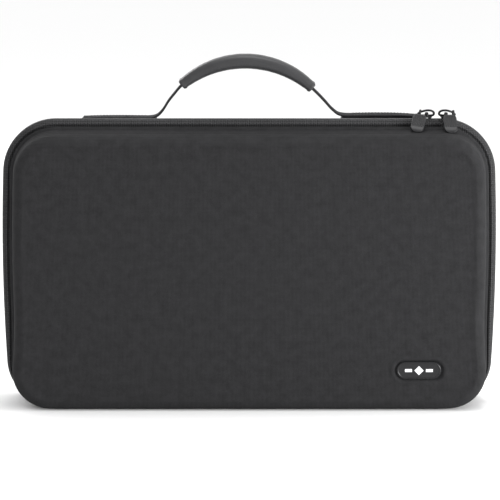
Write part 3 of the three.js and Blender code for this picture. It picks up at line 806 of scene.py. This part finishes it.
def foam_tray_piece(material):
    """A frame cut from one slab, and the strips that divide it into pockets."""
    outline = [(x, z) for x, _, z in ring(BACK_WALL[1] + FOAM_GAP, FOAM_GAP, 0)]
    loops = [outline, rounded_rectangle(*TRAY_OPENING, TRAY_CORNER)]
    frame_piece = filled_outline("tray_slab", loops, TRAY_LOW[1], TRAY_HIGH[1], FOAM_ROUND, material)
    own(frame_piece, "base", "foam", "tray_frame")
    names = [n for n in frame["nodes"] if n.startswith("tray_rail") or "_divider_" in n]
    strips = Parts()
    for name in names:
        strips.add(*soft_block(*node_box(name), FOAM_ROUND))
    strip_piece = strips.piece("tray_strips", material, sharp=FOAM_SHARP)
    own(strip_piece, "base", "foam", *names)


def pad_edge(side, start, end):
    """Three rings from start to end, distances from the parting plane, that turn in with the fillet."""
    inset = HALVES[side][2][1] + FOAM_GAP
    levels = (start, FILLET_Y + 4, end)
    return [ring(inset + turn, FOAM_GAP + turn, side * y) for turn, y in zip(PAD_TURN, levels)]


def base_pad_piece(material):
    low, high = node_box("base_pad")
    outer = pad_edge(1, low[1], high[1])
    front = face_rings(outer[0], 30, low[1])
    back = face_rings(outer[-1], 6, high[1])
    rows = list(reversed(front)) + outer + back
    piece = mesh_piece("base_pad_slab", *skin(rows), material, sharp=40)
    own(piece, "base", "foam", "base_pad")


def lid_pad_piece(material):
    """Convoluted foam: rows of peaks that press on the miniatures."""
    inset = FRONT_WALL[1] + FOAM_GAP
    edge = ring(inset, FOAM_GAP, PAD_HIGH[1])
    below_peaks = ring(inset, FOAM_GAP, PAD_HIGH[1] - 2 * PEAK_HEIGHT - 4)
    front = face_rings(edge, 64, PAD_HIGH[1])
    back_edge = pad_edge(-1, FILLET_Y, -PAD_LOW[1])
    back = face_rings(back_edge[-1], 5, PAD_LOW[1])
    rows = list(reversed(front)) + [edge, below_peaks] + back_edge + back
    points, faces = skin(rows)
    on_front = np.arange(len(points)) < (len(front) + 1) * len(OUTLINE)
    turns = 2 * math.pi / PEAK_PITCH
    wave = np.cos(turns * points[:, 0]) * np.cos(turns * (points[:, 2] - MIDDLE_Z))
    points[on_front, 1] += PEAK_HEIGHT * (wave[on_front] - 1)
    piece = mesh_piece("lid_pad_slab", points, faces, material, sharp=60)
    own(piece, "lid", "foam", "lid_pad")


# ---------------- handle

ARCH_RADIUS, ARCH_X = 98.0, -4.0
ARCH_MIDDLE, ARCH_HALF_ANGLE = 0.024, 0.75
ARCH_CENTRE_Z = float(STRAP_HIGH[2]) - 1.0 - ARCH_RADIUS
LEFT_LEG = [(-75.4, 314.8), (-81.6, 307.0), (-86.3, 299.5), (-90.6, 294.3), (-95.2, 291.4), (-102, 290.3)]
RIGHT_LEG = [(70.4, 313.3), (76.2, 307.2), (81.4, 301.3), (84.6, 298.2), (89.2, 294.6), (94.5, 293.1),
             (102, 292.7)]
LEFT_TAIL = [(-115, 290.3), (-132, 290.4), (-150, 290.3), (-168, 289.9)]
RIGHT_TAIL = [(112, 292.9), (128, 293.1), (148, 292.9), (168, 291.9)]
ANCHOR_LEAD = 4.5
TAIL_STITCH_NEAR, TAIL_STITCH_FAR, TAIL_STITCH_HALF = 104.0, 162.0, 9.0
WEBBING_WIDTH, WEBBING_THICKNESS = float(STRAP_HIGH[1] - STRAP_LOW[1]), 2.0
GRIP_HALF_ANGLE = 0.735
GRIP_MIDDLE, GRIP_END = (28.0, 13.4), (25.6, 9.0)    # width and thickness
GRIP_HEM, HEM_START, HEM_ROUND = 0.45, (0.945, 0.955), (0.985, 1.0)
GRIP_SEAM_Y, GRIP_RIDGE, GRIP_GROOVE, GRIP_DOME = 3.4, 0.7, 0.35, 0.8
ANCHOR_CORNER, ANCHOR_CROWN, ANCHOR_TILT = 4.0, 0.4, 1.9
ANCHOR_PROFILE = [(-1.0, -0.6), (-0.8, 0.0), (0.0, 0.0), (0.45, -0.1), (0.75, -0.5), (0.93, -1.1),
                  (1.0, -2.2)]    # level from bottom (-1) to top (1), growth of the outline


def arch_point(angle, lift=0.0):
    return (ARCH_X + (ARCH_RADIUS + lift) * math.sin(angle),
            ARCH_CENTRE_Z + (ARCH_RADIUS + lift) * math.cos(angle))


def strap_path():
    angles = np.linspace(ARCH_MIDDLE - ARCH_HALF_ANGLE, ARCH_MIDDLE + ARCH_HALF_ANGLE, 15)
    arch = [arch_point(a) for a in angles]
    left = list(reversed(LEFT_LEG + LEFT_TAIL))
    return spline(left + arch + RIGHT_LEG + RIGHT_TAIL, 320)


def webbing_piece(materials):
    path = strap_path()
    ahead = np.gradient(path, axis=0)
    ahead /= np.linalg.norm(ahead, axis=1)[:, None]
    across, out = oblong(WEBBING_WIDTH / 2, WEBBING_THICKNESS / 2, 0.7, 0.7, 38, steps=3)
    rib = 0.09 * np.cos(2 * math.pi * across / 2.4)
    sections = []
    for (x, z), (tx, tz) in zip(path, ahead):
        lift = out + np.sign(out) * rib
        sections.append(xyz(x - tz * lift, HANDLE_Y + across, z + tx * lift))
    piece = mesh_piece("handle_webbing", *loft(sections), materials["webbing"])
    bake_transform(piece)
    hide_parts("strap_root_left", "strap_root_right", "handle_strap")
    tail_stitches(path, materials["thread"])


def tail_stitches(path, material):
    """A box with a cross in it, sewn through each tail."""
    near, far, half = TAIL_STITCH_NEAR, TAIL_STITCH_FAR, TAIL_STITCH_HALF
    middle = (near + far) / 2
    corners = [(near, -half), (far, -half), (far, half), (near, half)]
    lines = list(zip(corners, corners[1:] + corners[:1]))
    lines += [(corners[0], corners[2]), (corners[1], corners[3]), ((middle, -half), (middle, half))]
    parts = Parts()
    for sign in (-1, 1):
        side = path[np.sign(path[:, 0]) == sign]
        side = side[np.argsort(np.abs(side[:, 0]))]
        tail = side[np.abs(side[:, 0]) > 100]
        for (x0, y0), (x1, y1) in lines:
            count = int(math.hypot(x1 - x0, y1 - y0) / 3.2)
            for k in range(count):
                t = (k + 0.5) / count
                x, y = x0 + (x1 - x0) * t, y0 + (y1 - y0) * t
                z = float(np.interp(x, np.abs(tail[:, 0]), tail[:, 1])) + 1.15
                along = (sign * (x1 - x0), y1 - y0, 0)
                parts.add(*capsule((sign * x, HANDLE_Y + y, z), along, 2.3, 0.28, up=(0, 0, 1)))
    own(parts.piece("tail_stitches", material), "base", "webbing")


def grip_half(share, which):
    """Half the grip's width (0) or thickness (1), from its middle (share 0) to an end (share 1)."""
    return (GRIP_MIDDLE[which] + (GRIP_END[which] - GRIP_MIDDLE[which]) * share ** 2) / 2


def grip_piece(materials):
    """The rubber sleeve, fuller in the middle, with a hem at both ends and a sewn seam underneath."""
    sections = []
    for share in np.linspace(-1, 1, 110):
        angle = ARCH_MIDDLE + share * GRIP_HALF_ANGLE
        end = abs(share)
        hem = GRIP_HEM * (smooth_step(*HEM_START, end) - 2 * smooth_step(*HEM_ROUND, end))
        half_height = grip_half(share, 1) + hem
        corner = half_height * 0.78
        across, out = oblong(grip_half(share, 0) + hem * 0.6, half_height, corner * 1.15, corner, 20, steps=8)
        under = np.exp(-(across / 1.6) ** 2) * (out < 0)
        ridge = GRIP_RIDGE * under * (1 - smooth_step(0.9, 0.95, end))
        groove = -GRIP_GROOVE * np.exp(-((np.abs(across) - GRIP_SEAM_Y) / 0.7) ** 2) * (out < 0)
        dome = GRIP_DOME * (1 - (across / 14) ** 2) * (out > 0)
        wave = [0.16 * noise.noise(Vector((angle * 26, a / 5, o / 5))) for a, o in zip(across, out)]
        lift = out * (1 + np.array(wave) / half_height) - ridge - groove + dome
        x, z = arch_point(angle)
        sections.append(xyz(x + lift * math.sin(angle), HANDLE_Y + across, z + lift * math.cos(angle)))
    piece = mesh_piece("grip_sleeve", *loft(sections), materials["grip"], sharp=55)
    own(piece, "handle", "handle_rubber", "handle_grip")
    seam = Parts()
    for side in (-1, 1):
        for share in np.linspace(-0.9, 0.9, 38):
            angle = ARCH_MIDDLE + share * GRIP_HALF_ANGLE
            x, z = arch_point(angle, 0.25 - grip_half(share, 1))
            along = (math.cos(angle), 0, -math.sin(angle))
            seam.add(*capsule((x, HANDLE_Y + side * GRIP_SEAM_Y, z), along, 2.4, 0.32))
    own(seam.piece("grip_stitches", materials["thread"]), "handle", "handle_rubber")


def anchor_piece(name, materials):
    """The raised pad under a tail: soft edges, a hem line and a slight crown."""
    low, high = node_box(name)
    if low[0] > 0:
        low[0] -= ANCHOR_LEAD
    else:
        high[0] += ANCHOR_LEAD
    centre, half = (low + high) / 2, (high - low) / 2
    top = high[2] + ANCHOR_CROWN
    sections = []
    for level, grow in ANCHOR_PROFILE:
        size = half[:2] + grow
        across, out = oblong(*size, ANCHOR_CORNER, ANCHOR_CORNER, 20, down=6, steps=6)
        y = centre[1] + out
        bottom = low[2] + (high[1] - y) / (high[1] - low[1]) * ANCHOR_TILT
        sections.append(xyz(centre[0] + across, y, bottom + (top - bottom) * (level + 1) / 2))
    piece = mesh_piece(f"{name}_pad", *loft(sections), materials["grip"], sharp=50)
    own(piece, "base", "handle_rubber", name)


# ---------------- sliders and pulls

# Along the zip, across it, and outwards from its crest.
SLIDER_BLOCKS = [    # low corner, high corner, corner radius, softened edge
    ((-5.5, -3.6, 0.9), (5.5, 3.6, 2.05), 1.6, 0.4),
    ((-4.5, -2.6, -4.4), (4.5, 2.6, -3.2), 1.2, 0.3),
    ((-4.5, -0.35, -3.4), (-1.5, 0.35, 1.2), 0.2, 0.1),
]
BRIDGE = [(0, -2.5, 2.0), (0, -2.6, 3.6), (0, -2.1, 5.0), (0, -0.9, 5.6), (0, 0.9, 5.6), (0, 2.1, 5.0),
          (0, 2.6, 3.6), (0, 2.5, 2.0)]
BRIDGE_RADIUS, BRIDGE_FLAT = 0.75, 2.2
MIRROR = {"left": -1, "right": 1}
LOOP_TILT = math.radians(45)
LOOP_ROUTE = [(-4.6, 0), (4.6, 0), (7.6, 0.5), (8.8, 2.3), (7.2, 4.8), (4.8, 6.3), (1.8, 7.5), (-1.0, 8.0),
              (-4.6, 7.2), (-6.9, 4.6), (-6.9, 1.4)]
LOOP_AXIS_Z = 3.0
WIRE_RADIUS = 1.1
TAB_X, TAB_REACH = 6.9, 4.7
TAB_LEAN = math.radians(46)
TAB_SPLAY = {"left": math.radians(13), "right": math.radians(4)}
TAB_OFFSET = {"left": -1.0, "right": -4.0}
TAB_WIDTH, TAB_TOP, TAB_LENGTH, TAB_THICKNESS = 13.6, 2.7, 26.2, 2.8
TAB_SHOULDER, TAB_CORNER = 6.0, 5.8
RIBS_START, RIBS_END, RIB_PITCH, RIB_DEPTH = (TAB_TOP + 1.8, TAB_TOP + 3.0), (19.0, 20.6), 1.7, 0.45
EYE_RADIUS, EYE_WIRE = 2.45, 0.55


def slider_frame(name):
    """Where a slider stands: a point on the crest, the direction along the zip, and outwards."""
    pivot = np.array(JOINTS[f"{name}_loop_hinge"]["pos_m"]) / MM
    axis = np.array(JOINTS[f"{name}_loop_hinge"]["axis"], float)
    outward = np.cross(axis, (0, 1, 0))
    crest = pivot - outward * LOOP_AXIS_Z
    return crest, axis, outward


def to_case(points, slider):
    """Stands a slider's own points on the case, mirrored for the left one."""
    crest, axis, outward = slider_frame(slider)
    local = np.asarray(points, float)
    along = np.outer(MIRROR[slider] * local[:, 0], axis)
    return crest + along + np.outer(local[:, 1], (0, 1, 0)) + np.outer(local[:, 2], outward)


def block(low, high, corner, edge):
    """A block with rounded corners and softened top and bottom edges."""
    low, high = np.array(low, float), np.array(high, float)
    centre, half = (low + high) / 2, (high - low) / 2
    sections = []
    for rise, grow in ((0, -edge), (0.3, -0.3 * edge), (1, 0)):
        across, out = oblong(half[0] + grow, half[1] + grow, corner, corner, 3, down=1, steps=5)
        sections.append((rise * edge, across, out))
    levels = [(low[2] + rise, a, o) for rise, a, o in sections]
    levels += [(high[2] - rise, a, o) for rise, a, o in reversed(sections)]
    return loft([xyz(centre[0] + a, centre[1] + o, z) for z, a, o in levels])


def slider_piece(name, materials):
    """Two plates joined by a neck, with a bridge on top that holds the loop."""
    parts = Parts()
    bridge = tube(spline(BRIDGE, 26), BRIDGE_RADIUS, 12, up=(1, 0, 0), flat=BRIDGE_FLAT)
    for points, faces in [block(*sizes) for sizes in SLIDER_BLOCKS] + [bridge]:
        parts.add(to_case(points, name), faces)
    piece = parts.piece(f"{name}_slider_casting", materials["metal"], sharp=50)
    own(piece, f"{name}_slider", "dark_metal", f"{name}_slider_body")


def loop_point(along, reach):
    return (along, -reach * math.sin(LOOP_TILT), LOOP_AXIS_Z + reach * math.cos(LOOP_TILT))


def wire_piece(name, materials):
    route = closed_spline([loop_point(*p) for p in LOOP_ROUTE], 96)
    normal = (0, -math.cos(LOOP_TILT), -math.sin(LOOP_TILT))
    points, faces = tube(route, WIRE_RADIUS, 12, closed=True, up=normal)
    piece = mesh_piece(f"{name}_bent_wire", to_case(points, name), faces, materials["metal"])
    own(piece, f"{name}_loop", "dark_metal", f"{name}_wire_loop")


def tab_half_width(s):
    """Half the blade's width at s mm below its eye: shoulders at the top, a round lower end."""
    top = math.sqrt(max(1 - (1 - min((s - TAB_TOP) / TAB_SHOULDER, 1)) ** 2, 0.0))
    low = math.sqrt(max(1 - max((s - TAB_LENGTH + TAB_CORNER) / TAB_CORNER, 0) ** 2, 0.0))
    flat = TAB_WIDTH / 2 - TAB_CORNER
    return (flat + TAB_CORNER * low) * (0.6 + 0.4 * top)


def tab_piece(name, materials):
    """A ribbed rubber blade under a round eye."""
    sections = []
    for t in np.linspace(0, 1, 64):
        s = TAB_TOP + (TAB_LENGTH - TAB_TOP) * (1 - (1 - t) ** 1.5)
        top_edge = min((s - TAB_TOP) / 1.0, 1)
        low_edge = min((TAB_LENGTH - s) / 4.5, 1)
        half_thick = TAB_THICKNESS / 2 * math.sqrt(max(1 - (1 - top_edge) ** 2, 0.02))
        half_thick *= math.sqrt(max(1 - (1 - low_edge) ** 2.6, 0.02))
        half_width = tab_half_width(s)
        across, out = oblong(half_width, half_thick, min(0.9, half_width), half_thick * 0.95, 40, steps=4)
        ribbed = smooth_step(*RIBS_START, s) * (1 - smooth_step(*RIBS_END, s))
        inside = 1 - smooth_step(0.82, 0.9, np.abs(across) / half_width)
        sunk = RIB_DEPTH * ribbed * inside * (0.5 - 0.5 * np.cos(2 * math.pi * across / RIB_PITCH))
        out = out - np.sign(out) * sunk
        sections.append(xyz(across + TAB_OFFSET[name], out, -s))
    parts = Parts()
    parts.add(*loft(sections))
    turn = np.linspace(0, 2 * math.pi, 40, endpoint=False)
    eye = xyz(0, EYE_RADIUS * np.sin(turn), EYE_RADIUS * np.cos(turn))
    parts.add(*tube(eye, EYE_WIRE, 12, closed=True, up=(1, 0, 0), flat=1.9))
    x, y, z = np.concatenate(parts.points).T
    splay = TAB_SPLAY[name]
    x, z = x * math.cos(splay) - z * math.sin(splay), x * math.sin(splay) + z * math.cos(splay)
    y, z = y * math.cos(TAB_LEAN) + z * math.sin(TAB_LEAN), z * math.cos(TAB_LEAN) - y * math.sin(TAB_LEAN)
    points = to_case(xyz(x, y, z) + loop_point(TAB_X, TAB_REACH), name)
    piece = mesh_piece(f"{name}_tab_blade", points, parts.faces, materials["tab"], sharp=60)
    own(piece, f"{name}_tab", "tab_rubber", f"{name}_pull_tab")


# ---------------- badge

# How far in each step of the rim is, and how far behind the badge's front.
BADGE_RIM = [(0, 0.6), (0.2, 0.25), (0.9, -0.25), (1.5, -0.3), (2.1, 0.15), (2.5, 0.2), (6, 0.1), (8.6, 0.05)]
DIAMOND_HALF, BAR_START, BAR_END, BAR_HALF = 4.6, 7.0, 14.0, 1.5


def on_badge(flat, y):
    return xyz(BADGE_CENTRE[0] + flat[:, 0], y, BADGE_CENTRE[2] + flat[:, 1])


def stadium(length, height, steps=20):
    half, radius = (length - height) / 2, height / 2
    turn = np.linspace(-math.pi / 2, math.pi / 2, steps)
    right = [(half + radius * math.cos(a), radius * math.sin(a)) for a in turn]
    left = [(-half - radius * math.cos(a), -radius * math.sin(a)) for a in turn]
    return np.array(right + left)


def badge_piece(materials):
    """A lacquered oval with a bevelled rim and a flat middle."""
    front, back = BADGE_LOW[1], BADGE_HIGH[1]
    rows = []
    for shrink, y in [(0, back)] + [(shrink, front + behind) for shrink, behind in BADGE_RIM]:
        rows.append(on_badge(stadium(BADGE_SIZE[0] - 2 * shrink, BADGE_SIZE[1] - 2 * shrink), y))
    piece = mesh_piece("badge_oval", *loft(rows), materials["badge"], sharp=50)
    own(piece, "lid", "badge_plastic", "badge")


def emblem_piece(materials):
    """A plain mark: a diamond between two bars."""
    y = BADGE_LOW[1] + 0.1
    shapes = [[(0, -DIAMOND_HALF), (DIAMOND_HALF, 0), (0, DIAMOND_HALF), (-DIAMOND_HALF, 0)]]
    for start, end in ((-BAR_START, -BAR_END), (BAR_START, BAR_END)):
        shapes.append([(start, -BAR_HALF), (end, -BAR_HALF), (end, BAR_HALF), (start, BAR_HALF)])
    parts = Parts()
    for shape in shapes:
        loop = np.array(shape, float)
        middle = loop.mean(0)
        rows = []
        for scale, lift in ((1.0, 0.0), (1.0, 0.2), (0.93, 0.28)):
            rows.append(on_badge(middle + (loop - middle) * scale, y - lift))
        parts.add(*loft(rows))
    piece = parts.piece("badge_mark", materials["print"], smooth=False)
    own(piece, "lid", "emblem_print", "badge_emblem")


# ---------------- the whole case

make_camera()
materials = make_materials()
make_studio()
for shell_side in (1, -1):
    shell_piece(shell_side, materials["shell"])
for shell_side in (1, -1):
    lining_piece(shell_side, materials["lining"])
for zip_side in (-1, 1):
    teeth(zip_side, materials["teeth"])
    tape_piece(zip_side, materials)
    binding_piece(zip_side, materials["binding"])
zip_stop("zip_stop_left", STOP_SLANT, materials["metal"])
zip_stop("zip_stop_right", -STOP_SLANT, materials["metal"])
spine_piece(materials["tape"])
base_pad_piece(materials["foam"])
foam_tray_piece(materials["foam"])
lid_pad_piece(materials["foam"])
webbing_piece(materials)
grip_piece(materials)
anchor_piece("anchor_left", materials)
anchor_piece("anchor_right", materials)
for slider_name in MIRROR:
    slider_piece(slider_name, materials)
    wire_piece(slider_name, materials)
    tab_piece(slider_name, materials)
badge_piece(materials)
emblem_piece(materials)
